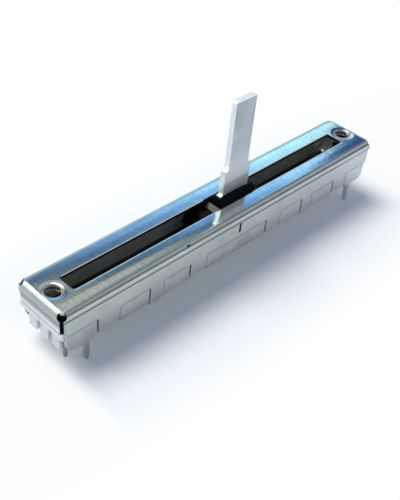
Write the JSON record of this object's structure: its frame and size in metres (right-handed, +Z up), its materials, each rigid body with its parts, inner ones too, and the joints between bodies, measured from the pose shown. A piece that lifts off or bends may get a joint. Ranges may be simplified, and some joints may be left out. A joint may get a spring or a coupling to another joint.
{
  "type": "slide potentiometer",
  "caption": "Slide potentiometer: a folded plated-steel case with a long slot, tapped mounting holes, a flat metal lever on a black carriage, mounting legs and solder terminals.",
  "frame": {"origin": "middle of the body's length and width, at the tips of the legs", "axes": "+X along the slot, +Y across the body to the rear, +Z up along the lever"},
  "size_m": [0.0604, 0.0086, 0.0247],
  "materials": {
    "cover_steel": "bright tin-plated steel sheet, semi-mirror top",
    "case_steel": "satin tin-plated steel sheet",
    "lever_metal": "satin nickel-plated steel strip",
    "black_moulding": "black acetal moulding",
    "end_moulding": "cream moulded plastic",
    "phenolic_board": "dark paper phenolic laminate",
    "carbon_print": "matt printed carbon",
    "collector_print": "printed conductive ink",
    "silver_print": "matt printed silver",
    "tinned_brass": "tin-plated brass strip",
    "spring_steel": "rolled spring strip",
    "spring_bronze": "phosphor bronze strip"
  },
  "bodies": {
    "housing": {"cover": "cover_steel", "lower_case": "case_steel", "track_board": "phenolic_board", "resistive_track_front": "carbon_print", "resistive_track_rear": "carbon_print", "collector_track_front": "collector_print", "collector_track_rear": "collector_print", "silver_pads": "silver_print", "terminal_rivets": "tinned_brass", "end_block_right": "end_moulding", "end_block_left": "end_moulding", "input_terminal_front": "tinned_brass", "input_terminal_rear": "tinned_brass", "wiper_terminal_front": "tinned_brass", "wiper_terminal_rear": "tinned_brass", "ground_terminal_front": "tinned_brass", "ground_terminal_rear": "tinned_brass"},
    "slider": {"carriage": "black_moulding", "lever": "lever_metal", "guide_spring": "spring_steel", "brush_front": "spring_bronze", "brush_rear": "spring_bronze"}
  },
  "joints": [
    {"name": "slider_travel", "type": "slide", "parent": "housing", "child": "slider", "axis": [1, 0, 0], "range_m": [-0.0255, 0.0197]}
  ]
}
